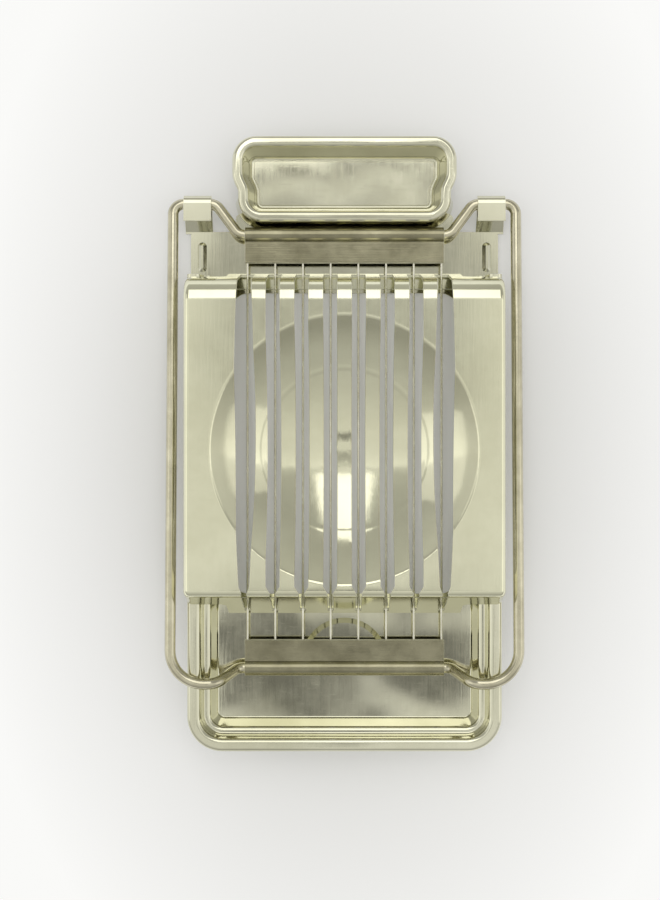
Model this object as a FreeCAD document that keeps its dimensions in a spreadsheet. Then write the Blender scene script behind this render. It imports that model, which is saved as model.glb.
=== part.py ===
import FreeCAD, Part
import math
import os
import Sketcher

# Egg slicer: a stamped base tray with a slotted, dished egg rest, and a hinged wire cutter.
# Millimetres. X runs across, Y from the front tray to the rear pan, Z up from the table.

SIZES = {
    # the sheet that the base tray and the egg rest are stamped from
    "sheet": 0.6,
    "overall_length": 130.0,
    "base_width": 66.2,
    # stepped rim of the front tray: heights above the table, widths inwards from its outer edge
    "rim_height": 9.3,
    "rim_edge": 1.3,
    "rim_flange": 2.6,
    "shelf_height": 6.3,
    "shelf_start": 3.4,
    "shelf_end": 4.7,
    "wall_foot": 5.8,
    "tray_corner": 7.4,
    # bends of the pressed rims, and the sideways step between the two faces of a sloped wall
    "edge_bend": 0.3,
    "wall_bend": 0.4,
    "wall_shift": 0.51,
    "rail_overrun": 2.0,
    # raised stiffening rib in the floor of the front tray
    "rib_radius": 9.5,
    "rib_reach": 18.1,
    "rib_height": 1.0,
    # opening in the floor under the egg rest, and the rear deck behind it
    "window_margin": 8.6,
    "window_corner": 4.0,
    "deck_gap": 1.3,
    "deck_corner": 2.0,
    # low bead on each side of the deck
    "bead_inset": 2.5,
    "bead_width": 2.5,
    "bead_length": 7.0,
    "bead_end": 2.0,
    "bead_height": 0.7,
    # rear pan: the plate that the thumb holds down
    "pan_width": 47.6,
    "pan_height": 6.6,
    "pan_edge": 1.3,
    "pan_flange": 2.2,
    "pan_foot": 3.8,
    "pan_corner": 5.0,
    "nose_width": 45.2,
    "nose_length": 6.8,
    "nose_slope": 0.8,
    "nose_tuck": 0.05,
    "nose_tail": 0.2,
    "kink_length": 2.5,
    "pan_side": 9.0,
    "kink_outer": 5.6,
    "kink_inner": 2.0,
    # corners of the pan floor at the kink, set so that they lie on the flat foot of the rim
    "kink_lap_front": 0.5,
    "kink_lap_rear": 0.95,
    "pan_seam": 0.02,
    # hinge: ears of the base curled round the frame wire
    "hinge_lap": 4.1,
    "hinge_height": 4.0,
    "hinge_clearance": 0.05,
    "ear_width": 5.9,
    "ear_end_gap": 0.1,
    "ear_tail": 3.8,
    "ear_flat": 2.3,
    "ear_ramp": 3.0,
    "ear_ramp_shift": 0.18,
    # egg rest
    "rest_height": 17.3,
    "tray_length": 33.4,
    "rear_length": 31.6,
    "front_slope": 17.0,
    "rear_slope": 10.0,
    "rest_bend": 1.6,
    "rear_bend": 5.0,
    "side_bend": 1.2,
    "skirt": 4.0,
    "skirt_corner": 3.0,
    "wall_margin": 4.0,
    "shoulder_gap": 0.1,
    "lower_wall_margin": 8.1,
    "foot_length": 3.4,
    "foot_margin": 0.8,
    "dish_margin": 4.8,
    "dish_depth": 12.0,
    "dish_front": 1.5,
    "dish_lip": 1.2,
    # slots of the egg rest
    "wire_pitch": 5.9,
    "slot_width": 2.8,
    "slot_bottom": 3.2,
    "slit_width": 1.1,
    "slot_margin": 2.0,
    "slot_taper": 1.4,
    "end_slot_rear": 2.9,
    "end_slot_front": 2.1,
    "end_slot_bow": 640.0,
    "slot_run_out": 5.0,
    # cutter frame: one bent wire
    "frame_wire": 2.3,
    "frame_overhang": 3.4,
    "frame_rest_gap": 0.35,
    "hinge_bend": 2.2,
    "bar_bend": 2.5,
    "bar_reach": 6.6,
    "hinge_lead": 0.9,
    "bar_setback": 17.0,
    "front_run": 2.5,
    "crossing_reach": 9.7,
    "crossing_bend": 3.6,
    "front_bend": 7.0,
    "butt_gap": 0.2,
    "front_slant": 1.5,
    "rear_slant": 1.3,
    # folded strips that hold the cutting wires
    "strip": 0.5,
    "strip_length": 42.4,
    "strip_reach": 6.0,
    "strip_fit": 0.02,
    # cutting wires
    "cutting_wire": 0.5,
    "wire_fit": 0.01,
    "wire_end_gap": 0.15,
}
# sizes that follow from those above, as formulas of the sheet
FOLLOWING = {
    "rear_edge": "overall_length / 2",
    "kink_rear": "rear_edge - pan_side",
    "kink_front": "kink_rear - kink_length",
    "nose_front": "kink_front - nose_length",
    "hinge_back": "nose_front + hinge_lap",
    "deck_rear": "nose_front - deck_gap",
    "bead_rear": "deck_rear - bead_end",
    "bead_front": "bead_rear - bead_length",
    "bead_centre": "base_width / 2 - bead_inset",
    "window_width": "base_width - 2 * window_margin",
    "rest_width": "base_width",
    "rest_front": "rear_edge - tray_length",
    "rest_rear": "rear_edge - rear_length",
    "rail_end": "rest_rear + rail_overrun",
    "lower_wall_width": "base_width - 2 * lower_wall_margin",
    "dish_radius": "(rest_front + rest_rear) / 2 - dish_margin",
    "slot_front": "rest_front - slot_margin",
    "rib_centre": "rear_edge - rib_reach",
    "front_bar": "rear_edge - bar_setback",
    "frame_width": "base_width + 2 * frame_overhang",
    "crossing": "frame_width / 2 - crossing_reach",
    "ear_outer": "frame_width / 2 - hinge_bend - ear_end_gap",
    "ear_inner": "ear_outer - ear_width",
    "hinge_straight": "ear_inner - hinge_lead",
}
WIRE_COUNT = 8
NEAR = 0.01

doc = FreeCAD.newDocument("EggSlicer")
sheet = doc.addObject("Spreadsheet::Sheet", "size")
cells = {alias: str(number) for alias, number in SIZES.items()}
cells.update({alias: f"={formula}" for alias, formula in FOLLOWING.items()})
for row, (alias, content) in enumerate(cells.items(), start=1):
    sheet.set(f"A{row}", alias)
    sheet.set(f"B{row}", content)
    sheet.setAlias(f"B{row}", alias)
doc.recompute()


def value(expression):
    return float(sheet.evalExpression(str(expression)))


# Places worked out from the driving sizes, as expressions
FRONT_EDGE = "(-size.rear_edge)"
REAR_EDGE = "size.rear_edge"
BASE_HALF = "(size.base_width / 2)"
FLOOR_LAP = "(size.wall_foot + size.sheet / 2)"
PAN_LAP = "(size.pan_foot + size.sheet / 2)"
WALL_SHIFT = "size.wall_shift"
PAN_HALF = "(size.pan_width / 2)"
NOSE_HALF = "(size.nose_width / 2)"
WIRE_R = "(size.frame_wire / 2)"
BORE_R = "(size.frame_wire / 2 + size.hinge_clearance)"
CURL_R = "(size.frame_wire / 2 + size.hinge_clearance + size.sheet)"
FRAME_HALF = "(size.frame_width / 2)"
EAR_OUTER = "size.ear_outer"
REST_HALF = "(size.rest_width / 2)"
REST_RISE = "(size.rest_height - size.sheet)"
FRONT_FOOT = f"(-size.rest_front - {REST_RISE} * tan(size.front_slope))"
REAR_FOOT = f"(size.rest_rear + {REST_RISE} * tan(size.rear_slope))"
FRONT_FOOT_END = f"({FRONT_FOOT} + size.foot_length)"
REAR_FOOT_END = f"({REAR_FOOT} - size.foot_length)"
SPHERE_R = "((size.dish_radius ^ 2 + size.dish_depth ^ 2) / (2 * size.dish_depth))"
REAR_BAR = "(size.hinge_back - size.bar_reach)"
FRONT_BAR = "(-size.front_bar)"
FRAME_TOP = f"(size.rim_height + size.frame_rest_gap + {WIRE_R})"
STRIP_BORE = "(size.frame_wire / 2 + size.strip_fit)"
STRIP_ROLL = "(size.frame_wire / 2 + size.strip_fit + size.strip)"
STRIP_GAP = "(size.cutting_wire + 2 * size.wire_fit)"


def new_body(label):
    body = doc.addObject("PartDesign::Body", label)
    body.Label = label
    return body


def origin_feature(body, role):
    return next(item for item in body.Origin.OriginFeatures if item.Role == role)


def new_sketch(body, name, role, offset="0"):
    sketch = body.newObject("Sketcher::SketchObject", name)
    sketch.AttachmentSupport = [(origin_feature(body, role), "")]
    sketch.MapMode = "FlatFace"
    sketch.setExpression("AttachmentOffset.Base.z", str(offset))
    return sketch


def tie(sketch, ties):
    """Add constraints, each with the expression that drives it or None."""
    indices = sketch.addConstraint([constraint for constraint, expression in ties])
    for index, (constraint, expression) in zip(indices, ties):
        if expression is not None:
            sketch.setExpression(f"Constraints[{index}]", expression)


def pinned(geometry, end, corner):
    return [(Sketcher.Constraint("DistanceX", geometry, end, value(corner[0])), corner[0]),
            (Sketcher.Constraint("DistanceY", geometry, end, value(corner[1])), corner[1])]


def radius_tie(geometry, radius):
    return (Sketcher.Constraint("Radius", geometry, value(radius)), radius)


def arc_between(start, finish, centre, leftwards):
    """An arc, with the numbers of its start and end points along the outline."""
    first, last = (start, finish) if leftwards else (finish, start)
    begin = math.atan2(first.y - centre.y, first.x - centre.x)
    end = math.atan2(last.y - centre.y, last.x - centre.x)
    if end < begin:
        end += 2 * math.pi
    circle = Part.Circle(centre, FreeCAD.Vector(0, 0, 1), (start - centre).Length)
    ends = (1, 2) if leftwards else (2, 1)
    return Part.ArcOfCircle(circle, begin, end), ends


def arc_centre(start, finish, radius, leftwards):
    chord = finish - start
    rise = math.sqrt(max(radius ** 2 - (chord.Length / 2) ** 2, 0))
    side = FreeCAD.Vector(-chord.y, chord.x, 0).normalize()
    return start + chord * 0.5 + side * (rise if leftwards else -rise)


def draw(sketch, corners, closed=True):
    """Draw a chain of corners: (x, y), (x, y, radius) where rounded, or (x, y, "left" or "right",
    radius) where the leg to the next corner is an arc that turns that way."""
    count = len(corners)
    points = [FreeCAD.Vector(value(corner[0]), value(corner[1]), 0) for corner in corners]
    arrive = list(points)
    leave = list(points)
    turns = {}
    for i, corner in enumerate(corners):
        if len(corner) == 3:
            back = (points[i - 1] - points[i]).normalize()
            ahead = (points[(i + 1) % count] - points[i]).normalize()
            half = back.getAngle(ahead) / 2
            radius = value(corner[2])
            arrive[i] = points[i] + back * (radius / math.tan(half))
            leave[i] = points[i] + ahead * (radius / math.tan(half))
            centre = points[i] + (back + ahead).normalize() * (radius / math.sin(half))
            turns[i] = arc_between(arrive[i], leave[i], centre, back.cross(ahead).z < 0)

    base = sketch.GeometryCount
    outline = []
    ties = []
    legs = []
    for i in range(count if closed else count - 1):
        finish = arrive[(i + 1) % count]
        if len(corners[i]) == 4:
            leftwards = corners[i][2] == "left"
            centre = arc_centre(leave[i], finish, value(corners[i][3]), leftwards)
            shape, ends = arc_between(leave[i], finish, centre, leftwards)
            ties.append(radius_tie(base + i, corners[i][3]))
        else:
            shape, ends = Part.LineSegment(leave[i], finish), (1, 2)
        outline.append(shape)
        legs.append((base + i, *ends))
    outline += [shape for shape, ends in turns.values()]
    sketch.addGeometry(outline, False)
    sketch.addGeometry([Part.Point(points[i]) for i in turns], True)

    for number, (i, (shape, ends)) in enumerate(turns.items()):
        arc = base + len(legs) + number
        vertex = base + len(outline) + number
        before, after = legs[i - 1], legs[i]
        ties += pinned(vertex, 1, corners[i])
        ties.append((Sketcher.Constraint("Tangent", before[0], before[2], arc, ends[0]), None))
        ties.append((Sketcher.Constraint("Tangent", arc, ends[1], after[0], after[1]), None))
        ties.append((Sketcher.Constraint("PointOnObject", vertex, 1, before[0]), None))
        ties.append((Sketcher.Constraint("PointOnObject", vertex, 1, after[0]), None))
        ties.append(radius_tie(arc, corners[i][2]))
    for i in range(count):
        if i in turns:
            continue
        if closed or 0 < i < count - 1:
            before, after = legs[i - 1], legs[i]
            meet = Sketcher.Constraint("Coincident", before[0], before[2], after[0], after[1])
            ties.append((meet, None))
        leg, end = (legs[i][0], legs[i][1]) if i < len(legs) else (legs[-1][0], legs[-1][2])
        ties += pinned(leg, end, corners[i])
    tie(sketch, ties)
    return sketch


def draw_circle(sketch, x, y, radius):
    centre = FreeCAD.Vector(value(x), value(y), 0)
    circle = Part.Circle(centre, FreeCAD.Vector(0, 0, 1), value(radius))
    geometry = sketch.addGeometry(circle, False)
    tie(sketch, pinned(geometry, 3, (x, y)) + [radius_tie(geometry, radius)])
    return sketch


def mirrored(corners):
    """The corners of the right half, back to front, followed by their mirror image in X."""
    left = [(f"(-({corner[0]}))",) + tuple(corner[1:]) for corner in reversed(corners)]
    return list(corners) + left


def pad(body, name, sketch, length, middle=False, taper=None):
    feature = body.newObject("PartDesign::Pad", name)
    feature.Profile = sketch
    feature.Refine = False
    feature.SideType = "Symmetric" if middle else "One side"
    feature.setExpression("Length", str(length))
    if taper is not None:
        feature.TaperAngle = taper
    doc.recompute()
    return feature


def pocket(body, name, sketch, length, middle=False, taper=None, upwards=False):
    feature = body.newObject("PartDesign::Pocket", name)
    feature.Profile = sketch
    feature.Refine = False
    feature.SideType = "Symmetric" if middle else "One side"
    feature.Reversed = upwards
    feature.setExpression("Length", str(length))
    if taper is not None:
        feature.TaperAngle = taper
    doc.recompute()
    return feature


def pipe(body, name, profile, spine):
    feature = body.newObject("PartDesign::AdditivePipe", name)
    feature.Profile = profile
    feature.Refine = False
    edges = [f"Edge{number + 1}" for number in range(len(spine.Shape.Edges))]
    feature.Spine = (spine, edges)
    feature.Mode = "Binormal"
    feature.Binormal = FreeCAD.Vector(0, 0, 1)
    doc.recompute()
    return feature


def mirror(body, name, features):
    feature = body.newObject("PartDesign::Mirrored", name)
    feature.Originals = features
    feature.Refine = False
    feature.MirrorPlane = (origin_feature(body, "YZ_Plane"), [""])
    body.Tip = feature
    doc.recompute()
    return feature


FLANK = 45
FLANK_INSET = f"(size.sheet * (1 / cos({FLANK}) - tan({FLANK})))"


def finished(body):
    """Merge the faces that the features split, once for the whole body."""
    body.Tip.Refine = True
    doc.recompute()
    return body


def emboss(body, name, corners_for, height):
    """Raise a flat-topped form from the floor: a pad above, and the same form pressed in below."""
    above = new_sketch(body, f"{name}_above", "XY_Plane", "size.sheet / 2")
    draw(above, corners_for("0"))
    pad(body, f"{name}_raised", above, f"{height} + size.sheet / 2", taper=-FLANK)
    below = new_sketch(body, f"{name}_below", "XY_Plane")
    draw(below, corners_for(FLANK_INSET))
    return pocket(body, f"{name}_pressed", below, height, taper=-FLANK, upwards=True)


# Base tray: front tray, floor frame, rear deck, hinge ears and rear pan in one stamping
def rim_section(outer, height, edge, steps, sheet_lap):
    """Section of a pressed rim. Steps are (distance in from the outer edge, height, bend) of its
    upper side, from the flange down to the floor; the lower side runs one sheet below it."""
    def across(distance):
        return f"({outer} - ({distance}))"
    upper = [(across("0"), f"{height} - {edge}"), (across("0"), height, "size.edge_bend + size.sheet")]
    lower = [(across("size.sheet"), f"{height} - {edge}"),
             (across("size.sheet"), f"{height} - size.sheet", "size.edge_bend")]
    for distance, level, hollow in steps:
        inside = "size.wall_bend" if hollow else "size.wall_bend + size.sheet"
        outside = "size.wall_bend + size.sheet" if hollow else "size.wall_bend"
        upper.append((across(distance), level, inside))
        lower.append((across(f"{distance} - {WALL_SHIFT}"), f"{level} - size.sheet", outside))
    upper.append((across(sheet_lap), "size.sheet"))
    lower.append((across(sheet_lap), "0"))
    return upper + lower[::-1]


def build_base_tray():
    body = new_body("base_tray")
    floor = new_sketch(body, "floor_outline", "XY_Plane")
    floor_half = f"({BASE_HALF} - {FLOOR_LAP})"
    floor_front = f"({FRONT_EDGE} + {FLOOR_LAP})"
    lip_half = f"({NOSE_HALF} + size.nose_slope)"
    lip_rear = "(size.nose_front + size.pan_corner / 2)"
    draw(floor, mirrored([
        (floor_half, floor_front, f"size.tray_corner - {FLOOR_LAP}"),
        (floor_half, f"{REAR_FOOT} - size.foot_margin"),
        (BASE_HALF, f"{REAR_FOOT} - size.foot_margin", "size.deck_corner / 2"),
        (BASE_HALF, "size.deck_rear", "size.deck_corner / 2"),
        (lip_half, "size.deck_rear", "size.deck_corner / 2"),
        (lip_half, lip_rear, "size.deck_corner / 2"),
    ]))
    pad(body, "floor", floor, "size.sheet")

    window = new_sketch(body, "window_outline", "XY_Plane", "size.sheet")
    draw(window, mirrored([
        ("size.window_width / 2", f"{FRONT_FOOT_END} + size.foot_margin", "size.window_corner"),
        ("size.window_width / 2", f"{REAR_FOOT_END} - size.foot_margin", "size.window_corner"),
    ]))
    pocket(body, "window", window, "size.sheet")

    def rib_corners(inset):
        radius = f"(size.rib_radius - {inset})"
        centre = "(-size.rib_centre)"
        front = f"({FRONT_EDGE} + {FLOOR_LAP} + {inset})"
        return [
            (radius, front),
            (radius, centre, "left", radius),
            ("0", f"{centre} + {radius}", "left", radius),
            (f"-{radius}", centre),
            (f"-{radius}", front),
        ]

    def bead_corners(side):
        def corners(inset):
            half = f"(size.bead_width / 2 - {inset})"
            centre = f"({side} * size.bead_centre)"
            front = "(size.bead_front + size.bead_width / 2)"
            rear = "(size.bead_rear - size.bead_width / 2)"
            return [
                (f"{centre} + {half}", front),
                (f"{centre} + {half}", rear, "left", half),
                (centre, f"{rear} + {half}", "left", half),
                (f"{centre} - {half}", rear),
                (f"{centre} - {half}", front, "left", half),
                (centre, f"{front} - {half}", "left", half),
            ]
        return corners

    emboss(body, "rib", rib_corners, "size.rib_height")
    emboss(body, "right_bead", bead_corners(1), "size.bead_height")
    emboss(body, "left_bead", bead_corners(-1), "size.bead_height")

    pan_corners = mirrored([
        (NOSE_HALF, "size.nose_front", "size.pan_corner"),
        (NOSE_HALF, "size.kink_front", "size.kink_inner"),
        (PAN_HALF, "size.kink_rear", "size.kink_outer"),
        (PAN_HALF, REAR_EDGE, "size.pan_corner"),
    ])
    pan_opening = new_sketch(body, "pan_opening_outline", "XY_Plane", "size.sheet")
    draw(pan_opening, pan_corners)
    pocket(body, "pan_opening", pan_opening, "size.sheet")

    skirt_path = new_sketch(body, "nose_path", "XY_Plane")
    skirt_end = "(size.nose_front + size.pan_corner + size.nose_tail)"
    draw(skirt_path, [
        (NOSE_HALF, skirt_end),
        (NOSE_HALF, "size.nose_front", "size.pan_corner"),
        (f"-{NOSE_HALF}", "size.nose_front", "size.pan_corner"),
        (f"-{NOSE_HALF}", skirt_end),
    ], closed=False)
    skirt = new_sketch(body, "nose_section", "XZ_Plane", f"-{skirt_end}")
    skirt_top = "(size.pan_height - size.pan_edge / 2)"
    draw(skirt, [
        (f"{NOSE_HALF} - size.nose_tuck", skirt_top),
        (f"{NOSE_HALF} - size.sheet + size.nose_tuck", skirt_top),
        (f"{NOSE_HALF} - size.sheet + size.nose_slope", "0"),
        (f"{NOSE_HALF} + size.nose_slope", "0"),
    ])
    pipe(body, "nose_skirt", skirt, skirt_path)

    pan_path = new_sketch(body, "pan_path", "XY_Plane")
    draw(pan_path, pan_corners)
    pan_section = new_sketch(body, "pan_section", "YZ_Plane")
    draw(pan_section, rim_section(REAR_EDGE, "size.pan_height", "size.pan_edge", [
        ("size.pan_flange", "size.pan_height", False),
        ("size.pan_foot", "size.sheet", True),
    ], "size.pan_foot + size.sheet"))
    pipe(body, "pan_rim", pan_section, pan_path)

    pan_floor = new_sketch(body, "pan_floor_outline", "XY_Plane", "size.pan_seam")
    pan_floor_corner = f"size.pan_corner - {PAN_LAP}"
    draw(pan_floor, mirrored([
        (f"{NOSE_HALF} - {PAN_LAP}", f"size.nose_front + {PAN_LAP}", pan_floor_corner),
        (f"{NOSE_HALF} - {PAN_LAP}", "size.kink_front + size.kink_lap_front"),
        (f"{PAN_HALF} - {PAN_LAP}", "size.kink_rear + size.kink_lap_rear"),
        (f"{PAN_HALF} - {PAN_LAP}", f"{REAR_EDGE} - {PAN_LAP}", pan_floor_corner),
    ]))
    pad(body, "pan_floor", pan_floor, "size.sheet - 2 * size.pan_seam")

    rim_path = new_sketch(body, "rim_path", "XY_Plane")
    draw(rim_path, [
        (BASE_HALF, "size.rail_end"),
        (BASE_HALF, FRONT_EDGE, "size.tray_corner"),
        (f"-{BASE_HALF}", FRONT_EDGE, "size.tray_corner"),
        (f"-{BASE_HALF}", "size.rail_end"),
    ], closed=False)
    rim = new_sketch(body, "tray_rim_section", "XZ_Plane", "-size.rail_end")
    draw(rim, rim_section(BASE_HALF, "size.rim_height", "size.rim_edge", [
        ("size.rim_flange", "size.rim_height", False),
        ("size.shelf_start", "size.shelf_height", True),
        ("size.shelf_end", "size.shelf_height", False),
        ("size.wall_foot", "size.sheet", True),
    ], "size.wall_foot + size.sheet"))
    pipe(body, "tray_rim", rim, rim_path)

    ear = new_sketch(body, "ear_section", "YZ_Plane", "size.ear_inner")
    axis_y = "size.hinge_back"
    axis_z = "size.hinge_height"
    leg_end = "(size.hinge_back - size.ear_flat)"
    leg_start = f"({leg_end} - size.ear_ramp)"
    ramp_shift = "size.ear_ramp_shift"
    draw(ear, [
        (f"{leg_start} - size.sheet", "0"),
        (leg_start, "0"),
        (leg_end, f"{axis_z} - {CURL_R}"),
        (axis_y, f"{axis_z} - {CURL_R}", "left", CURL_R),
        (f"{axis_y} + {CURL_R}", axis_z, "left", CURL_R),
        (axis_y, f"{axis_z} + {CURL_R}"),
        (f"{axis_y} - size.ear_tail", f"{axis_z} + {CURL_R}"),
        (f"{axis_y} - size.ear_tail", f"{axis_z} + {BORE_R}"),
        (axis_y, f"{axis_z} + {BORE_R}", "right", BORE_R),
        (f"{axis_y} + {BORE_R}", axis_z, "right", BORE_R),
        (axis_y, f"{axis_z} - {BORE_R}"),
        (f"{leg_end} - {ramp_shift}", f"{axis_z} - {BORE_R}"),
        (f"{leg_start} - {ramp_shift}", "size.sheet"),
        (f"{leg_start} - size.sheet", "size.sheet"),
    ])
    ear_pad = pad(body, "ear", ear, f"{EAR_OUTER} - size.ear_inner")
    mirror(body, "ears", [ear_pad])

    return finished(body)


# Egg rest: dished plate on a front and a rear wall, slotted for the cutting wires
def edges_where(shape, test):
    return [f"Edge{number}" for number, edge in enumerate(shape.Edges, start=1) if test(edge)]


def fillet(body, name, base, edges, radius):
    feature = body.newObject("PartDesign::Fillet", name)
    feature.Base = (base, edges)
    feature.Refine = False
    feature.setExpression("Radius", radius)
    doc.recompute()
    return feature


def revolved(body, name, kind, sketch):
    feature = body.newObject(kind, name)
    feature.Profile = sketch
    feature.Refine = False
    feature.ReferenceAxis = (sketch, ["V_Axis"])
    feature.Angle = 360
    doc.recompute()
    return feature


def slot_corners(centre, rear_half, front_half, bow=None):
    slit_half = "(size.slit_width / 2)"
    rear = f"({REAR_FOOT} + size.slot_run_out)"
    front = f"({FRONT_FOOT} - size.slot_run_out)"
    wall_top = "size.rest_rear"
    wide_end = "(-size.slot_front)"
    slit_start = "(-size.slot_front - size.slot_taper)"
    outward = ("left", bow) if bow else ()
    return [
        (f"{centre} - {rear_half}", rear),
        (f"{centre} - {rear_half}", wall_top) + outward,
        (f"{centre} - {front_half}", wide_end),
        (f"{centre} - {slit_half}", slit_start),
        (f"{centre} - {slit_half}", front),
        (f"{centre} + {slit_half}", front),
        (f"{centre} + {slit_half}", slit_start),
        (f"{centre} + {front_half}", wide_end) + outward,
        (f"{centre} + {rear_half}", wall_top),
        (f"{centre} + {rear_half}", rear),
    ]


def wire_place(number):
    return f"((2 * {number} - {WIRE_COUNT - 1}) / 2 * size.wire_pitch)"


def build_egg_rest():
    body = new_body("egg_rest")
    side = new_sketch(body, "side_outline", "YZ_Plane")
    draw(side, [
        (FRONT_FOOT, "size.sheet"),
        (REAR_FOOT, "size.sheet"),
        ("size.rest_rear", "size.rest_height", "size.rear_bend"),
        ("-size.rest_front", "size.rest_height", "size.rest_bend"),
    ])
    block = pad(body, "block", side, "size.rest_width", middle=True)

    def on_side_above_foot(edge):
        box = edge.BoundBox
        return box.XLength < NEAR and box.ZMax > value("size.sheet") + NEAR
    fillet(body, "rolled_sides", block, edges_where(block.Shape, on_side_above_foot),
           "size.side_bend")

    inside = new_sketch(body, "inside_outline", "YZ_Plane")
    inside_top = "(size.rest_height - size.sheet)"
    front_inset = "(size.sheet / cos(size.front_slope) - size.sheet * tan(size.front_slope))"
    rear_inset = "(size.sheet / cos(size.rear_slope) - size.sheet * tan(size.rear_slope))"
    inside_front = f"(-size.rest_front + {front_inset})"
    inside_rear = f"(size.rest_rear - {rear_inset})"
    draw(inside, [
        (f"{inside_front} - {inside_top} * tan(size.front_slope)", "0"),
        (f"{inside_rear} + {inside_top} * tan(size.rear_slope)", "0"),
        (inside_rear, inside_top, "size.rear_bend - size.sheet"),
        (inside_front, inside_top, "size.rest_bend - size.sheet"),
    ])
    hollow = pocket(body, "inside", inside, "size.rest_width - 2 * size.sheet", middle=True)

    def inside_corner(edge):
        box = edge.BoundBox
        at_skirt = abs(abs(box.XMin) - value(REST_HALF) + value("size.sheet")) < NEAR
        return box.XLength < NEAR and at_skirt and box.ZMax > value("size.sheet") + NEAR
    fillet(body, "inside_sides", hollow, edges_where(hollow.Shape, inside_corner),
           "size.side_bend - size.sheet")

    top = "size.rest_height"
    bowl = new_sketch(body, "bowl_section", "XZ_Plane", "size.dish_front")
    outer_sphere = f"({SPHERE_R} + size.sheet)"
    bowl_top = "(size.rest_height - size.sheet / 2)"
    sphere_centre = f"(size.rest_height - size.dish_depth + {SPHERE_R})"
    bowl_reach = f"sqrt({outer_sphere} ^ 2 - ({sphere_centre} - {bowl_top}) ^ 2)"
    draw(bowl, [
        ("0", f"{top} - size.dish_depth - size.sheet", "left", outer_sphere),
        (bowl_reach, bowl_top),
        ("0", bowl_top),
    ])
    revolved(body, "bowl", "PartDesign::Revolution", bowl)

    dish = new_sketch(body, "dish_section", "XZ_Plane", "size.dish_front")
    draw(dish, [
        ("0", f"{top} - size.dish_depth", "left", SPHERE_R),
        ("size.dish_radius", top),
        ("size.dish_radius", f"{top} + size.sheet"),
        ("0", f"{top} + size.sheet"),
    ])
    dished = revolved(body, "dish", "PartDesign::Groove", dish)

    def dish_edge(edge):
        box = edge.BoundBox
        return box.ZLength < NEAR and abs(box.XLength - 2 * value("size.dish_radius")) < NEAR
    fillet(body, "dish_lip", dished, edges_where(dished.Shape, dish_edge), "size.dish_lip")

    flank = new_sketch(body, "flank_opening", "YZ_Plane", f"{REST_HALF} + size.sheet")
    under = "-size.sheet"
    below_skirt = "(size.rest_height - size.skirt)"
    draw(flank, [
        ("-size.rest_front + size.wall_margin", under),
        ("size.rest_rear - size.wall_margin", under),
        ("size.rest_rear - size.wall_margin", below_skirt, "size.skirt_corner"),
        ("-size.rest_front + size.wall_margin", below_skirt, "size.skirt_corner"),
    ])
    opening = pocket(body, "flank", flank, "size.side_bend + 3 * size.sheet")
    mirror(body, "flanks", [opening])

    shoulder = new_sketch(body, "shoulder_outline", "XZ_Plane")
    shoulder_top = "(size.rim_height + size.shoulder_gap)"
    beyond = "(size.rest_width / 2 + size.rest_bend)"
    for sign in ("", "-"):
        draw(shoulder, [
            (f"{sign}size.lower_wall_width / 2", under),
            (f"{sign}{beyond}", under),
            (f"{sign}{beyond}", shoulder_top),
            (f"{sign}size.lower_wall_width / 2", shoulder_top, "size.skirt_corner / 2"),
        ])
    pocket(body, "shoulders", shoulder, f"2 * ({REAR_FOOT} - {FRONT_FOOT})", middle=True)

    feet = new_sketch(body, "feet_outline", "XY_Plane", "size.sheet")
    foot_half = "(size.lower_wall_width / 2)"
    for near, far in ((f"{FRONT_FOOT} + size.sheet / 2", FRONT_FOOT_END),
                      (f"{REAR_FOOT} - size.sheet / 2", REAR_FOOT_END)):
        draw(feet, mirrored([(foot_half, near), (foot_half, far, "size.sheet")]))
    pad(body, "feet", feet, "size.sheet")

    slots = new_sketch(body, "slot_outlines", "XY_Plane", "size.rest_height + size.sheet")
    for number in range(WIRE_COUNT):
        centre = wire_place(number)
        if number in (0, WIRE_COUNT - 1):
            rear_half, front_half = "(size.end_slot_rear / 2)", "(size.end_slot_front / 2)"
            draw(slots, slot_corners(centre, rear_half, front_half, "size.end_slot_bow"))
        else:
            draw(slots, slot_corners(centre, "(size.slot_width / 2)", "(size.slot_width / 2)"))
    pocket(body, "slots", slots, "size.rest_height + size.sheet - size.slot_bottom")
    return finished(body)


# Cutter frame: one wire bent round the base, its ends butting inside the front strip
def rounded_wire(points, radii):
    """A wire of straight runs joined by tangent arcs at the inner points."""
    edges = []
    start = points[0]
    for before, corner, after, radius in zip(points, points[1:], points[2:], radii):
        back = (before - corner).normalize()
        ahead = (after - corner).normalize()
        half = back.getAngle(ahead) / 2
        arrive = corner + back * (radius / math.tan(half))
        leave = corner + ahead * (radius / math.tan(half))
        inward = (back + ahead).normalize()
        middle = corner + inward * (radius / math.sin(half) - radius)
        edges.append(Part.LineSegment(start, arrive).toShape())
        edges.append(Part.Arc(arrive, middle, leave).toShape())
        start = leave
    edges.append(Part.LineSegment(start, points[-1]).toShape())
    return Part.Wire(edges)


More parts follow.
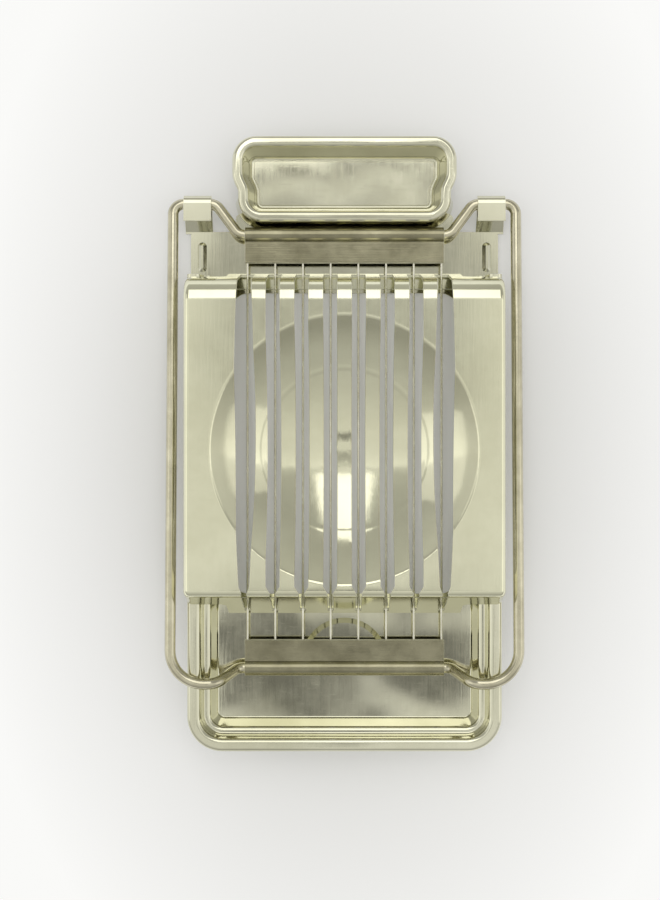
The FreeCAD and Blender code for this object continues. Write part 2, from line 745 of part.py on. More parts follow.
def build_cutter_frame():
    level = value("size.hinge_height")
    raised = value(FRAME_TOP)
    half = value(FRAME_HALF)
    front = value(FRONT_BAR)
    run = value("size.front_run")
    back = value("size.hinge_back")
    bar_end = value("size.strip_length / 2")
    right = [
        (value("size.butt_gap / 2"), front, level, None),
        (bar_end + value("size.front_slant"), front, level, value("size.bar_bend")),
        (value("size.crossing"), front - run, raised, value("size.crossing_bend")),
        (half, front - run, raised, value("size.front_bend")),
        (half, back, level, value("size.hinge_bend")),
        (value("size.hinge_straight"), back, level, value("size.bar_bend")),
        (bar_end + value("size.rear_slant"), value(REAR_BAR), level, value("size.bar_bend")),
    ]
    left = [(-x, y, z, radius) for x, y, z, radius in reversed(right)]
    route = right + left
    points = [FreeCAD.Vector(x, y, z) for x, y, z, radius in route]
    radii = [radius for x, y, z, radius in route[1:-1]]
    path = doc.addObject("Part::Feature", "frame_path")
    path.Shape = rounded_wire(points, radii)

    section = doc.addObject("Part::Circle", "frame_section")
    section.setExpression("Radius", WIRE_R)
    along_x = FreeCAD.Rotation(FreeCAD.Vector(0, 0, 1), FreeCAD.Vector(1, 0, 0))
    section.Placement = FreeCAD.Placement(points[0], along_x)

    frame = doc.addObject("Part::Sweep", "cutter_frame")
    frame.Label = "cutter_frame"
    frame.Sections = [section]
    frame.Spine = (path, [f"Edge{number + 1}" for number in range(len(path.Shape.Edges))])
    frame.Solid = True
    frame.Transition = "Transformed"
    doc.recompute()
    return frame


# Wire holders: strips folded round the frame wire, with the cutting wires between their leaves
def build_wire_holder(label, bar, inward):
    body = new_body(label)
    level = "size.hinge_height"
    edge = f"({bar} + {inward} * size.strip_reach)"
    leaf_half = f"({STRIP_GAP} / 2 + size.strip)"
    leaves = new_sketch(body, "leaves_section", "YZ_Plane")
    draw(leaves, [
        (bar, f"{level} - {leaf_half}"),
        (edge, f"{level} - {leaf_half}"),
        (edge, f"{level} + {leaf_half}"),
        (bar, f"{level} + {leaf_half}"),
    ])
    pad(body, "leaves", leaves, "size.strip_length", middle=True)
    roll = draw_circle(new_sketch(body, "roll_section", "YZ_Plane"), bar, level, STRIP_ROLL)
    pad(body, "roll", roll, "size.strip_length", middle=True)
    bore = draw_circle(new_sketch(body, "bore_section", "YZ_Plane"), bar, level, STRIP_BORE)
    pocket(body, "bore", bore, "size.strip_length + size.strip", middle=True)
    gap = new_sketch(body, "gap_section", "YZ_Plane")
    draw(gap, [
        (bar, f"{level} - {STRIP_GAP} / 2"),
        (f"{edge} + {inward} * size.strip", f"{level} - {STRIP_GAP} / 2"),
        (f"{edge} + {inward} * size.strip", f"{level} + {STRIP_GAP} / 2"),
        (bar, f"{level} + {STRIP_GAP} / 2"),
    ])
    pocket(body, "gap", gap, "size.strip_length + size.strip", middle=True)
    return finished(body)


# Cutting wires, from left to right, clamped between the leaves of both strips
def build_cutting_wire(number):
    wire = doc.addObject("Part::Cylinder", f"cutting_wire_{number + 1}")
    wire.Label = f"cutting_wire_{number + 1}"
    front_end = f"({FRONT_BAR} + {WIRE_R} + size.wire_end_gap)"
    rear_end = f"({REAR_BAR} - {WIRE_R} - size.wire_end_gap)"
    along_y = FreeCAD.Rotation(FreeCAD.Vector(0, 0, 1), FreeCAD.Vector(0, 1, 0))
    wire.Placement = FreeCAD.Placement(FreeCAD.Vector(0, 0, 0), along_y)
    wire.setExpression("Radius", "size.cutting_wire / 2")
    wire.setExpression("Height", f"{rear_end} - {front_end}")
    wire.setExpression("Placement.Base.x", wire_place(number))
    wire.setExpression("Placement.Base.y", front_end)
    wire.setExpression("Placement.Base.z", "size.hinge_height")
    return wire


parts = [
    build_base_tray(),
    build_egg_rest(),
    build_cutter_frame(),
    build_wire_holder("front_wire_holder", FRONT_BAR, 1),
    build_wire_holder("rear_wire_holder", REAR_BAR, -1),
]
parts += [build_cutting_wire(number) for number in range(WIRE_COUNT)]
doc.recompute()

for item in doc.Objects:
    if "Invalid" in item.State or "Error" in item.State:
        raise RuntimeError(f"{item.Label} failed: {item.State}")
for part in parts:
    if part.Shape.isNull() or not part.Shape.isValid():
        raise RuntimeError(f"{part.Label} has no valid shape")

os.makedirs("parts", exist_ok=True)
for part in parts:
    part.Shape.exportStep(os.path.join("parts", f"{part.Label}.step"))
    solids = len(part.Shape.Solids)
    print(f"{part.Label}: {solids} solid, {part.Shape.Volume:.1f} mm3")
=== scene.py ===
import math

import bmesh
import bpy
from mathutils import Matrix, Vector


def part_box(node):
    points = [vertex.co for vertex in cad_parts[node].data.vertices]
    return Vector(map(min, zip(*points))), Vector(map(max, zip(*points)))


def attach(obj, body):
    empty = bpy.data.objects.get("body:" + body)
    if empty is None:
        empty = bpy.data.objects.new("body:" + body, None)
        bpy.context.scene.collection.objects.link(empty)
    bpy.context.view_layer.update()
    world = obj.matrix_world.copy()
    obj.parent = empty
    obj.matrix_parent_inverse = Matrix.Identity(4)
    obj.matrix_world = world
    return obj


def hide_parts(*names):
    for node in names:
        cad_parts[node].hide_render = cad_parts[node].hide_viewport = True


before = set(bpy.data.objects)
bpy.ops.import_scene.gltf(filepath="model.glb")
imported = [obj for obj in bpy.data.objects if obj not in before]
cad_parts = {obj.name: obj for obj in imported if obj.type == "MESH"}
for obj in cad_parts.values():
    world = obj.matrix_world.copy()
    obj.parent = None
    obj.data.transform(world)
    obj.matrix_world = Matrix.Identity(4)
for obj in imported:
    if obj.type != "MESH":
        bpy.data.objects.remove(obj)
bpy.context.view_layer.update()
mm = 0.001
print("frame loaded:", len(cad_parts), "solids")


# helpers

def placed(name, data):
    made = bpy.data.objects.new(name, data)
    bpy.context.scene.collection.objects.link(made)
    return made


def addNode(tree, kind, settings=None, **properties):
    node = tree.nodes.new(kind)
    for name, value in properties.items():
        setattr(node, name, value)
    for socket, value in (settings or {}).items():
        node.inputs[socket].default_value = value
    return node


def objectCoords(tree, stretch=(1, 1, 1), turn=(0, 0, 0)):
    coords = addNode(tree, "ShaderNodeTexCoord")
    mapping = addNode(tree, "ShaderNodeMapping", {"Scale": stretch, "Rotation": turn})
    tree.links.new(coords.outputs["Object"], mapping.inputs["Vector"])
    return mapping.outputs["Vector"]


def noise(tree, vector, scale, detail=2.0, roughness=0.5):
    node = addNode(tree, "ShaderNodeTexNoise", {"Scale": scale, "Detail": detail, "Roughness": roughness})
    tree.links.new(vector, node.inputs["Vector"])
    return node.outputs["Fac"]


def ramp(tree, value, stops):
    node = addNode(tree, "ShaderNodeValToRGB")
    bar = node.color_ramp
    while len(bar.elements) < len(stops):
        bar.elements.new(0.5)
    for element, (place, level) in zip(bar.elements, stops):
        element.position = place
        element.color = (*level, 1) if isinstance(level, tuple) else (level, level, level, 1)
    tree.links.new(value, node.inputs["Fac"])
    return node.outputs["Color"]


def spread(tree, value, low, high, newLow, newHigh):
    node = addNode(tree, "ShaderNodeMapRange", {1: low, 2: high, 3: newLow, 4: newHigh})
    tree.links.new(value, node.inputs[0])
    return node.outputs[0]


def combine(tree, operation, first, second):
    node = addNode(tree, "ShaderNodeMath", operation=operation)
    tree.links.new(first, node.inputs[0])
    tree.links.new(second, node.inputs[1])
    return node.outputs[0]


def mixed(tree, share, first, second):
    mix = addNode(tree, "ShaderNodeMix", data_type="VECTOR")
    sockets = {socket.identifier: socket for socket in (*mix.inputs, *mix.outputs)}
    tree.links.new(share, sockets["Factor_Float"])
    tree.links.new(first, sockets["A_Vector"])
    tree.links.new(second, sockets["B_Vector"])
    return sockets["Result_Vector"]


def bump(tree, height, depth, normal=None):
    node = addNode(tree, "ShaderNodeBump", {"Strength": 1.0, "Distance": depth})
    tree.links.new(height, node.inputs["Height"])
    if normal is not None:
        tree.links.new(normal, node.inputs["Normal"])
    return node.outputs["Normal"]


# steel finishes, one recipe with its own numbers for each kind of stock; the wire holders' finish is
# darkened as painted shade

allSteel = {
    "patchStops": (0.3, 0.68),         # noise levels of the dull and the bright patches
    "smudgesPerPatch": 3,
    "grainShare": 0.45,                # weight of the grain in the roughness, beside the smudges
    "blotchSpan": (0.5, 1.0),
    "scratchStretch": (240, 8000, 3000),
    "scratchTurn": (0, 0, 0.6),        # radians
    "scratchStops": [(0.0, 1.0), (0.24, 1.0), (0.29, 0.0)],
}
traySteel = {
    "bright": (0.80, 0.79, 0.64),
    "dull": (0.64, 0.63, 0.485),
    "patchScale": 38.0,                # per metre
    "roughness": (0.05, 0.12),
    "waveScale": 46.0,
    "waveDepth": 0.34 * mm,            # slow dents that bend the reflections
    "grainStretch": (2600, 90, 2600),
    "grainDepth": 0.003 * mm,
    "scratchDepth": 0.0004 * mm,
}
restSteel = {
    "bright": (0.85, 0.845, 0.655),
    "dull": (0.72, 0.71, 0.53),
    "patchScale": 44.0,
    "roughness": (0.08, 0.16),
    "waveScale": 38.0,
    "waveDepth": 0.22 * mm,
    "grainStretch": (2600, 90, 2600),
    "grainDepth": 0.003 * mm,
    "scratchDepth": 0.0004 * mm,
    # shallow ring that the press leaves in the dish
    "ring": {
        "centre": (0, -1.5 * mm, 0), "radius": 17.2 * mm, "width": 0.8 * mm, "depth": 0.04 * mm,
    },
}
frameSteel = {
    "bright": (0.70, 0.665, 0.515),
    "dull": (0.50, 0.47, 0.345),
    "patchScale": 160.0,
    "roughness": (0.12, 0.24),
    "waveScale": 240.0,
    "waveDepth": 0.015 * mm,
    "grainStretch": (1500, 1500, 1500),
    "grainDepth": 0.003 * mm,
    "scratchDepth": 0.0004 * mm,
}
# the wire holders are the same stainless as the tray; their colour is darkened as a painted dark
# reflection on the flat strips
holderSteelPaintedShade = {
    "bright": (0.38, 0.36, 0.25),
    "dull": (0.235, 0.22, 0.145),
    "patchScale": 120.0,
    "roughness": (0.15, 0.28),
    "waveScale": 95.0,
    "waveDepth": 0.14 * mm,
    "grainStretch": (60, 3400, 3400),
    "grainDepth": 0.014 * mm,
    "scratchDepth": 0.003 * mm,
}
wireSteel = {
    "bright": (0.84, 0.83, 0.74),
    "dull": (0.68, 0.66, 0.55),
    "patchScale": 300.0,
    "roughness": (0.16, 0.30),
    "waveScale": 400.0,
    "waveDepth": 0.004 * mm,
    "grainStretch": (4000, 400, 4000),
    "grainDepth": 0.003 * mm,
    "scratchDepth": 0.001 * mm,
}
# sheared edges: rougher, as cut steel is, and lighter in colour as a painted edge highlight
edgeHighlightSteel = {
    "bright": (0.90, 0.89, 0.78),
    "dull": (0.78, 0.77, 0.63),
    "patchScale": 500.0,
    "roughness": (0.30, 0.45),
    "waveScale": 500.0,
    "waveDepth": 0.003 * mm,
    "grainStretch": (5000, 5000, 900),
    "grainDepth": 0.006 * mm,
    "scratchDepth": 0.001 * mm,
}


def pressRing(tree, vector, ring):
    offset = addNode(tree, "ShaderNodeVectorMath", {1: ring["centre"]}, operation="SUBTRACT")
    flat = addNode(tree, "ShaderNodeVectorMath", {1: (1, 1, 0)}, operation="MULTIPLY")
    reach = addNode(tree, "ShaderNodeVectorMath", operation="LENGTH")
    gap = addNode(tree, "ShaderNodeMath", {1: ring["radius"]}, operation="SUBTRACT")
    away = addNode(tree, "ShaderNodeMath", operation="ABSOLUTE")
    tree.links.new(vector, offset.inputs[0])
    tree.links.new(offset.outputs["Vector"], flat.inputs[0])
    tree.links.new(flat.outputs["Vector"], reach.inputs[0])
    tree.links.new(reach.outputs["Value"], gap.inputs[0])
    tree.links.new(gap.outputs[0], away.inputs[0])
    height = addNode(tree, "ShaderNodeMapRange", {1: 0.0, 2: ring["width"], 3: 1.0, 4: 0.0},
                     interpolation_type="SMOOTHSTEP")
    tree.links.new(away.outputs[0], height.inputs[0])
    return height.outputs[0]


def steelMaterial(name, look):
    material = bpy.data.materials.new(name)
    material.use_nodes = True
    tree = material.node_tree
    shader = tree.nodes["Principled BSDF"]
    shader.inputs["Metallic"].default_value = 1.0
    plain = objectCoords(tree)
    stretched = objectCoords(tree, stretch=look["grainStretch"])
    slanted = objectCoords(tree, stretch=allSteel["scratchStretch"], turn=allSteel["scratchTurn"])

    patches = noise(tree, plain, look["patchScale"], detail=5.0, roughness=0.6)
    patchStops = list(zip(allSteel["patchStops"], (look["dull"], look["bright"])))
    tree.links.new(ramp(tree, patches, patchStops), shader.inputs["Base Color"])
    grain = noise(tree, stretched, 1.0, detail=3.0, roughness=0.65)
    smudgeScale = look["patchScale"] * allSteel["smudgesPerPatch"]
    smudges = noise(tree, plain, smudgeScale, detail=6.0, roughness=0.7)
    blotch = addNode(tree, "ShaderNodeMath", {1: allSteel["grainShare"]}, operation="MULTIPLY_ADD")
    tree.links.new(grain, blotch.inputs[0])
    tree.links.new(smudges, blotch.inputs[2])
    roughness = spread(tree, blotch.outputs[0], *allSteel["blotchSpan"], *look["roughness"])
    tree.links.new(roughness, shader.inputs["Roughness"])

    scratches = ramp(tree, noise(tree, slanted, 1.0, detail=1.0), allSteel["scratchStops"])
    dented = bump(tree, noise(tree, plain, look["waveScale"], detail=0.6), look["waveDepth"])
    if "ring" in look:
        dented = bump(tree, pressRing(tree, plain, look["ring"]), look["ring"]["depth"], dented)
    grained = bump(tree, grain, look["grainDepth"], dented)
    tree.links.new(bump(tree, scratches, -look["scratchDepth"], grained), shader.inputs["Normal"])
    return material


finishes = {
    "tray_steel": steelMaterial("traySteel", traySteel),
    "rest_steel": steelMaterial("restSteel", restSteel),
    "frame_wire": steelMaterial("frameSteel", frameSteel),
    "holder_steel": steelMaterial("holderSteelPaintedShade", holderSteelPaintedShade),
    "cutting_wire": steelMaterial("wireSteel", wireSteel),
}
edgeHighlight = steelMaterial("edgeHighlightSteel", edgeHighlightSteel)
print("finishes made:", len(finishes) + 1)


# pressed and folded sheet: the solids' own forms, merged, with their cut edges eased and lightened as a
# painted highlight

sheetPieces = {
    "baseTray": {
        "node": "base_tray", "body": "base", "slot": "tray_steel", "ease": 0.06 * mm,
        # the rib of the tray floor runs out between these lines, under the front strip
        "rib": {"half": 13 * mm, "full": -47.2 * mm, "gone": -49.2 * mm, "height": 1.0 * mm},
    },
    "eggRest": {"node": "egg_rest", "body": "base", "slot": "rest_steel", "ease": 0.09 * mm},
    "frontWireHolder": {
        "node": "front_wire_holder", "body": "cutter", "slot": "holder_steel", "ease": 0.06 * mm,
    },
    "rearWireHolder": {
        "node": "rear_wire_holder", "body": "cutter", "slot": "holder_steel", "ease": 0.06 * mm,
    },
}
sheetWork = {
    "thickness": 0.6 * mm,
    "merge": 0.002 * mm,               # corners this close become one
    "sliver": 0.001 * mm,              # shorter edges are dropped
    "planeWithin": 0.0001 * mm,        # corners this close to a cutting plane lie on it
    "levelWithin": 0.05 * mm,          # corners this close to the rib's height belong to the rib
    "flatWithin": math.radians(0.4),   # faces that turn less than this are one flat
    "sharpFrom": math.radians(24),     # edges that turn more than this shade sharp
    "cutFrom": math.radians(66),       # sheared edges of the sheet turn more than the bends do
    "flatWeight": 96,                  # pull of the large faces on the shading
}


def joinFlats(form):
    bmesh.ops.dissolve_limit(form, angle_limit=sheetWork["flatWithin"],
                             verts=form.verts, edges=form.edges)


def runOut(form, rib):
    # cuts the tray across at both lines and lays the rib flat in front of the second one
    for line in (rib["full"], rib["gone"]):
        bmesh.ops.bisect_plane(form, geom=form.verts[:] + form.edges[:] + form.faces[:],
                               dist=sheetWork["planeWithin"], plane_co=(0, line, 0), plane_no=(0, 1, 0))
    levels = (0.0, sheetWork["thickness"])  # underside and top of the flat floor
    for vert in form.verts:
        if abs(vert.co.x) < rib["half"] and vert.co.y < rib["gone"] + sheetWork["merge"]:
            for level in levels:
                if abs(vert.co.z - level - rib["height"]) < sheetWork["levelWithin"]:
                    vert.co.z = level
    form.normal_update()
    joinFlats(form)


def easedSheet(name, piece):
    form = bmesh.new()
    form.from_mesh(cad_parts[piece["node"]].data)
    bmesh.ops.remove_doubles(form, verts=form.verts, dist=sheetWork["merge"])
    bmesh.ops.dissolve_degenerate(form, edges=form.edges, dist=sheetWork["sliver"])
    joinFlats(form)
    if "rib" in piece:
        runOut(form, piece["rib"])
    for face in form.faces:
        face.material_index = 0
    cut = [edge for edge in form.edges
           if edge.is_manifold and edge.calc_face_angle(0) > sheetWork["cutFrom"]]
    # the eased cut edges get the second material, lighter as a painted highlight
    bmesh.ops.bevel(form, geom=cut, offset=piece["ease"], offset_type="OFFSET", segments=1,
                    profile=0.5, affect="EDGES", clamp_overlap=False, material=1)
    low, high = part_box(piece["node"])
    for vert in form.verts:
        vert.co = Vector(min(max(value, least), most) for value, least, most in zip(vert.co, low, high))
    for face in form.faces:
        face.smooth = True
    for edge in form.edges:
        edge.smooth = not edge.is_manifold or edge.calc_face_angle(0) < sheetWork["sharpFrom"]
    mesh = bpy.data.meshes.new(name)
    form.to_mesh(mesh)
    form.free()
    mesh.materials.append(finishes[piece["slot"]])
    mesh.materials.append(edgeHighlight)
    made = placed(name, mesh)
    # large flats keep their own direction, and bends blend between them
    flats = made.modifiers.new("Flats", "WEIGHTED_NORMAL")
    flats.mode = "FACE_AREA"
    flats.weight = sheetWork["flatWeight"]
    flats.keep_sharp = True
    graph = bpy.context.evaluated_depsgraph_get()
    made.data = bpy.data.meshes.new_from_object(made.evaluated_get(graph))
    made.modifiers.clear()
    return made


def handOver(made, piece):
    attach(made, piece["body"])
    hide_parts(*piece.get("nodes", [piece.get("node")]))
    print(made.name, "ready:", len(made.data.polygons), "faces")


for name, piece in sheetPieces.items():
    handOver(easedSheet(name, piece), piece)


# wire work by Geometry Nodes

def newTree(name, inputs):
    tree = bpy.data.node_groups.new(name, "GeometryNodeTree")
    tree.interface.new_socket("Geometry", in_out="INPUT", socket_type="NodeSocketGeometry")
    tree.interface.new_socket("Geometry", in_out="OUTPUT", socket_type="NodeSocketGeometry")
    for label, kind in inputs:
        tree.interface.new_socket(label, in_out="INPUT", socket_type=kind)
    return tree, addNode(tree, "NodeGroupInput"), addNode(tree, "NodeGroupOutput")


def grown(name, mesh, tree, values):
    # runs the tree on a start mesh and keeps the result as a plain mesh
    start = placed(name + "Start", mesh)
    modifier = start.modifiers.new("Grow", "NODES")
    modifier.node_group = tree
    sockets = {item.name: item.identifier for item in tree.interface.items_tree
               if item.in_out == "INPUT"}
    for label, value in values.items():
        modifier[sockets[label]] = value
    graph = bpy.context.evaluated_depsgraph_get()
    result = bpy.data.meshes.new_from_object(start.evaluated_get(graph))
    start.modifiers.remove(modifier)
    bpy.data.objects.remove(start)
    result.name = name
    return placed(name, result)


cutterFrame = {
    "nodes": ["cutter_frame"],
    "body": "cutter",
    "slot": "frame_wire",
    "wireRadius": 1.15 * mm,
    "sides": 28,
    "bendSteps": 14,
    # right half of the route, from the butt in the front strip to the rear bar:
    # x, y, z and bend radius in millimetres
    "route": [
        (0.1, -48.0, 4.0, 0.0),
        (22.7, -48.0, 4.0, 2.5),
        (26.8, -50.5, 10.8, 3.6),
        (36.5, -50.5, 10.8, 7.0),
        (36.5, 50.8, 4.0, 2.2),
        (27.4, 50.8, 4.0, 2.5),
        (22.5, 44.2, 4.0, 2.5),
    ],
}


def frameWireTree():
    tree, given, out = newTree("frameWire", [
        ("Wire Radius", "NodeSocketFloat"), ("Sides", "NodeSocketInt"),
        ("Bend Steps", "NodeSocketInt"), ("Finish", "NodeSocketMaterial")])
    link = tree.links.new
    route = addNode(tree, "GeometryNodeMeshToCurve")
    bendRadius = addNode(tree, "GeometryNodeInputNamedAttribute", {"Name": "bendRadius"},
                         data_type="FLOAT")
    bends = addNode(tree, "GeometryNodeFilletCurve", mode="POLY")
    section = addNode(tree, "GeometryNodeCurvePrimitiveCircle")
    wire = addNode(tree, "GeometryNodeCurveToMesh", {"Fill Caps": True})
    realize = addNode(tree, "GeometryNodeRealizeInstances")
    smooth = addNode(tree, "GeometryNodeSetShadeSmooth")
    finish = addNode(tree, "GeometryNodeSetMaterial")
    link(given.outputs["Geometry"], route.inputs["Mesh"])
    link(route.outputs["Curve"], bends.inputs["Curve"])
    link(bendRadius.outputs["Attribute"], bends.inputs["Radius"])
    link(given.outputs["Bend Steps"], bends.inputs["Count"])
    link(given.outputs["Wire Radius"], section.inputs["Radius"])
    link(given.outputs["Sides"], section.inputs["Resolution"])
    link(bends.outputs["Curve"], wire.inputs["Curve"])
    link(section.outputs["Curve"], wire.inputs["Profile Curve"])
    link(wire.outputs["Mesh"], realize.inputs["Geometry"])
    link(realize.outputs["Geometry"], smooth.inputs["Geometry"])
    link(smooth.outputs["Geometry"], finish.inputs["Geometry"])
    link(given.outputs["Finish"], finish.inputs["Material"])
    link(finish.outputs["Geometry"], out.inputs["Geometry"])
    return tree


right = cutterFrame["route"]
route = right + [(-x, y, z, bend) for x, y, z, bend in reversed(right)]
routeMesh = bpy.data.meshes.new("frameRoute")
routeMesh.from_pydata([Vector(stop[:3]) * mm for stop in route],
                      [(stop, stop + 1) for stop in range(len(route) - 1)], [])
bends = routeMesh.attributes.new("bendRadius", "FLOAT", "POINT")
bends.data.foreach_set("value", [stop[3] * mm for stop in route])
handOver(grown("cutterFrame", routeMesh, frameWireTree(), {
    "Wire Radius": cutterFrame["wireRadius"],
    "Sides": cutterFrame["sides"],
    "Bend Steps": cutterFrame["bendSteps"],
    "Finish": finishes[cutterFrame["slot"]],
}), cutterFrame)

cuttingWires = {
    "nodes": [f"cutting_wire_{number}" for number in range(1, 9)],
    "body": "cutter",
    "slot": "cutting_wire",
    "radius": 0.25 * mm,
    "pitch": 5.9 * mm,
    "frontEnd": -46.7 * mm,
    "rearEnd": 42.9 * mm,
    "level": 4.0 * mm,
    "sides": 16,
    "segments": 24,
}


def cuttingWireTree():
    tree, given, out = newTree("cuttingWireRow", [
        ("Count", "NodeSocketInt"), ("Pitch", "NodeSocketVector"), ("First Wire", "NodeSocketVector"),
        ("Radius", "NodeSocketFloat"), ("Length", "NodeSocketFloat"), ("Finish", "NodeSocketMaterial")])
    link = tree.links.new
    places = addNode(tree, "GeometryNodeMeshLine", mode="OFFSET")
    wire = addNode(tree, "GeometryNodeMeshCylinder", {
        "Vertices": cuttingWires["sides"], "Side Segments": cuttingWires["segments"]})
    row = addNode(tree, "GeometryNodeInstanceOnPoints", {"Rotation": (math.pi / 2, 0, 0)})
    realize = addNode(tree, "GeometryNodeRealizeInstances")
    smooth = addNode(tree, "GeometryNodeSetShadeSmooth")
    finish = addNode(tree, "GeometryNodeSetMaterial")
    link(given.outputs["Count"], places.inputs["Count"])
    link(given.outputs["First Wire"], places.inputs["Start Location"])
    link(given.outputs["Pitch"], places.inputs["Offset"])
    link(given.outputs["Radius"], wire.inputs["Radius"])
    link(given.outputs["Length"], wire.inputs["Depth"])
    link(places.outputs["Mesh"], row.inputs["Points"])
    link(wire.outputs["Mesh"], row.inputs["Instance"])
    link(row.outputs["Instances"], realize.inputs["Geometry"])
    link(realize.outputs["Geometry"], smooth.inputs["Geometry"])
    link(smooth.outputs["Geometry"], finish.inputs["Geometry"])
    link(given.outputs["Finish"], finish.inputs["Material"])
    link(finish.outputs["Geometry"], out.inputs["Geometry"])
    return tree


wireCount = len(cuttingWires["nodes"])
firstX = -cuttingWires["pitch"] * (wireCount - 1) / 2
middleY = (cuttingWires["frontEnd"] + cuttingWires["rearEnd"]) / 2
handOver(grown("cuttingWires", bpy.data.meshes.new("wireRow"), cuttingWireTree(), {
    "Count": wireCount,
    "Pitch": (cuttingWires["pitch"], 0, 0),
    "First Wire": (firstX, middleY, cuttingWires["level"]),
    "Radius": cuttingWires["radius"],
    "Length": cuttingWires["rearEnd"] - cuttingWires["frontEnd"],
    "Finish": finishes[cuttingWires["slot"]],
}), cuttingWires)


# pale floor, with a painted pool of shade round the object

floorLook = {
    "half": 9.0,
    "color": (0.95, 0.955, 0.975),
    "mottle": (0.92, 0.925, 0.945),
    "mottleScale": 9.0,                # per metre
    "mottleStops": (0.35, 0.65),
    "roughness": 0.9,
    "glow": (1, 1, 0.985, 1),
    # the low share of glow under the object is a painted pool of shade round it
    "liftWithShadePool": (0.10, 0.86),              # share of the glow under the object, and away from it
    "shadePoolReach": (55 * mm, 135 * mm),     # distances from the middle where those two shares hold
    "plan": (1.6, 1.0, 0.0),           # the object is narrower across than along
}


def makeFloor():
    half = floorLook["half"]
    mesh = bpy.data.meshes.new("floor")
    corners = [(-half, -half, 0), (half, -half, 0), (half, half, 0), (-half, half, 0)]
    mesh.from_pydata(corners, [], [(0, 1, 2, 3)])
    floor = placed("floor", mesh)
    material = bpy.data.materials.new("paleFloor")
    material.use_nodes = True
    tree = material.node_tree
    shader = tree.nodes["Principled BSDF"]
    shader.inputs["Roughness"].default_value = floorLook["roughness"]
    patches = noise(tree, objectCoords(tree), floorLook["mottleScale"], detail=3.0)
    mottleStops = list(zip(floorLook["mottleStops"], (floorLook["mottle"], floorLook["color"])))
    tree.links.new(ramp(tree, patches, mottleStops), shader.inputs["Base Color"])
    # lifts the floor towards white for the camera and in reflections, and keeps its shadow; the lift is
    # low near the object, which paints a pool of shade round it
    seen = addNode(tree, "ShaderNodeLightPath")
    direct = seen.outputs["Is Camera Ray"]
    for ray in ("Is Glossy Ray", "Is Transmission Ray"):
        direct = combine(tree, "MAXIMUM", direct, seen.outputs[ray])
    away = addNode(tree, "ShaderNodeVectorMath", operation="LENGTH")
    tree.links.new(objectCoords(tree, stretch=floorLook["plan"]), away.inputs[0])
    liftWithShadePool = spread(tree, away.outputs["Value"], *floorLook["shadePoolReach"], *floorLook["liftWithShadePool"])
    glow = addNode(tree, "ShaderNodeEmission", {"Color": floorLook["glow"], "Strength": 1.0})
    mix = addNode(tree, "ShaderNodeMixShader")
    tree.links.new(combine(tree, "MULTIPLY", direct, liftWithShadePool), mix.inputs["Fac"])
    tree.links.new(shader.outputs["BSDF"], mix.inputs[1])
    tree.links.new(glow.outputs["Emission"], mix.inputs[2])
    tree.links.new(mix.outputs["Shader"], tree.nodes["Material Output"].inputs["Surface"])
    mesh.materials.append(material)


makeFloor()


# studio light: a soft dome with flags, and soft boxes behind and at the sides

dome = {
    # level by how far a direction leans to the rear (+) or front (-): lean, level
    "bands": [(-1.6, 0.46), (-0.8, 0.58), (-0.42, 0.70), (-0.2, 0.80), (0.0, 0.80), (0.09, 0.86),
              (0.2, 0.98), (0.215, 0.98), (0.232, 0.60), (0.34, 0.50), (0.6, 0.44), (1.0, 0.42),
              (1.6, 0.45)],
    "reach": 1.6,
    "leastHeight": 0.05,               # keeps the lean finite near the horizon
    "tint": (1.0, 0.99, 0.93),
    # colours low down, from the front (0) by the sides (0.5) to the rear (1)
    "horizon": [(0.0, (0.30, 0.295, 0.27)), (0.25, (0.42, 0.415, 0.385)), (0.5, (0.70, 0.69, 0.65)),
                (0.75, (0.58, 0.575, 0.54)), (1.0, (0.50, 0.495, 0.46))],
    "horizonTop": (0.12, 0.42),        # heights between which the bands take over
    "backdrop": (0.96, 0.96, 0.955, 1),
    "backdropTop": (0.03, 0.05),
    # dark things overhead: half width, front and rear lean, share of light that each takes
    "flags": [
        {"half": 0.082, "front": 0.028, "rear": 0.146, "soft": 0.006, "takes": 0.48},
        {"half": 0.083, "front": -0.168, "rear": -0.098, "soft": 0.006, "takes": 0.76},
        {"half": 0.064, "front": 0.172, "rear": 0.192, "soft": 0.003, "takes": 0.80},
    ],
}
lampColor = (1.0, 0.985, 0.93)
softBoxes = [
    {"name": "rearWindow", "place": (0.0, 0.76, 0.9), "aim": (0.0, 0.76, 0.0),
     "size": (0.56, 1.05), "power": 2.1},
    {"name": "leftStrip", "place": (-0.62, 0.05, 0.34), "aim": (0.0, 0.0, 0.0),
     "size": (0.60, 0.40), "power": 0.25},
    {"name": "rightStrip", "place": (0.62, 0.0, 0.36), "aim": (0.0, 0.0, 0.0),
     "size": (0.60, 0.40), "power": 0.25},
]


def flagShade(tree, leans, flag):
    soft = flag["soft"]
    sideways = addNode(tree, "ShaderNodeMath", operation="ABSOLUTE")
    tree.links.new(leans["X"], sideways.inputs[0])
    along = leans["Y"]
    edges = [spread(tree, sideways.outputs[0], flag["half"] - soft, flag["half"] + soft, 1.0, 0.0),
             spread(tree, along, flag["front"] - soft, flag["front"] + soft, 0.0, 1.0),
             spread(tree, along, flag["rear"] - soft, flag["rear"] + soft, 1.0, 0.0)]
    inside = edges[0]
    for edge in edges[1:]:
        inside = combine(tree, "MULTIPLY", inside, edge)
    return spread(tree, inside, 0.0, 1.0, 1.0, 1.0 - flag["takes"])


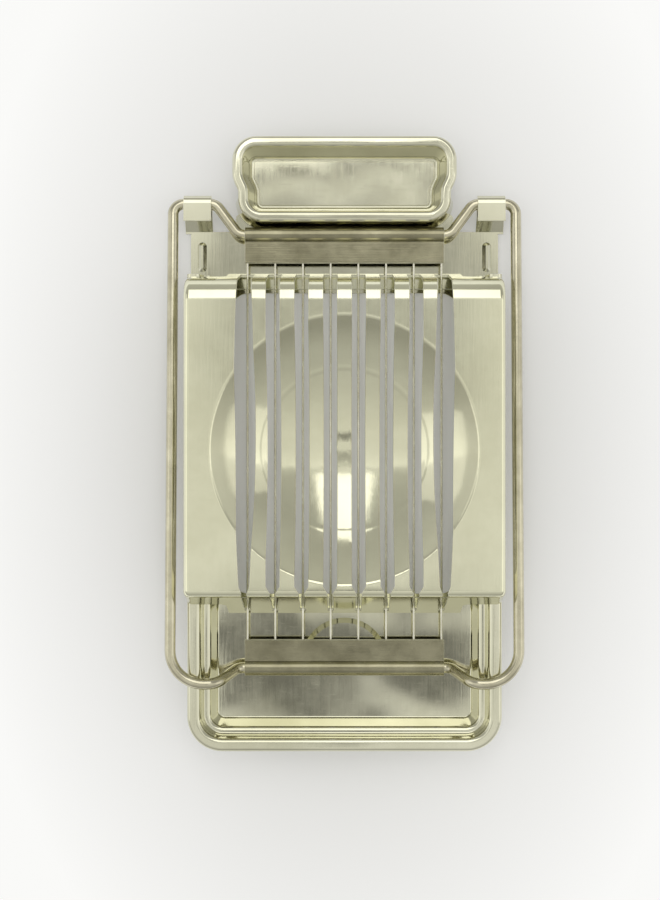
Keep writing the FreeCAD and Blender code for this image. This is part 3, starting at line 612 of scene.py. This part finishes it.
def makeDome():
    world = bpy.data.worlds.new("studioDome")
    world.use_nodes = True
    bpy.context.scene.world = world
    tree = world.node_tree
    link = tree.links.new
    direction = addNode(tree, "ShaderNodeTexCoord")
    axes = addNode(tree, "ShaderNodeSeparateXYZ")
    height = addNode(tree, "ShaderNodeMath", {1: dome["leastHeight"]}, operation="MAXIMUM")
    link(direction.outputs["Generated"], axes.inputs["Vector"])
    link(axes.outputs["Z"], height.inputs[0])
    leans = {axis: combine(tree, "DIVIDE", axes.outputs[axis], height.outputs[0]) for axis in ("X", "Y")}
    reach = dome["reach"]
    along = spread(tree, leans["Y"], -reach, reach, 0.0, 1.0)
    overhead = ramp(tree, along, [
        ((place + reach) / (2 * reach), tuple(level * part for part in dome["tint"]))
        for place, level in dome["bands"]])
    for flag in dome["flags"]:
        shaded = addNode(tree, "ShaderNodeVectorMath", operation="SCALE")
        link(overhead, shaded.inputs["Vector"])
        link(flagShade(tree, leans, flag), shaded.inputs["Scale"])
        overhead = shaded.outputs["Vector"]
    horizon = ramp(tree, spread(tree, axes.outputs["Y"], -1.0, 1.0, 0.0, 1.0), dome["horizon"])
    rise = spread(tree, axes.outputs["Z"], *dome["horizonTop"], 0.0, 1.0)
    sky = mixed(tree, rise, horizon, overhead)
    # a low pale backdrop stands all round, beyond the floor
    backdrop = addNode(tree, "ShaderNodeRGB").outputs[0]
    backdrop.default_value = dome["backdrop"]
    above = spread(tree, axes.outputs["Z"], *dome["backdropTop"], 0.0, 1.0)
    link(mixed(tree, above, backdrop, sky), tree.nodes["Background"].inputs["Color"])


def makeSoftBox(box):
    lamp = bpy.data.lights.new(box["name"], "AREA")
    lamp.shape = "RECTANGLE"
    lamp.size, lamp.size_y = box["size"]
    lamp.energy = box["power"]
    lamp.color = lampColor
    holder = placed(box["name"], lamp)
    holder.location = box["place"]
    aim = Vector(box["aim"]) - Vector(box["place"])
    holder.rotation_euler = aim.to_track_quat("-Z", "Y").to_euler()


makeDome()
for box in softBoxes:
    makeSoftBox(box)
print("light set:", len(softBoxes), "soft boxes and a dome")


# camera straight above, as the photograph

view = {
    "place": (0.0, -1.6 * mm, 339.3 * mm),
    "lens": 62.9,
    "shiftX": -14.5 / 900,             # pixels, as a share of the picture's longer side
    "clip": (0.01, 20.0),
}
camera = bpy.data.cameras.new("camera")
camera.lens = view["lens"]
camera.shift_x = view["shiftX"]
camera.clip_start, camera.clip_end = view["clip"]
cameraObject = placed("camera", camera)
cameraObject.location = view["place"]
bpy.context.scene.camera = cameraObject
bpy.context.scene.view_settings.view_transform = "Standard"
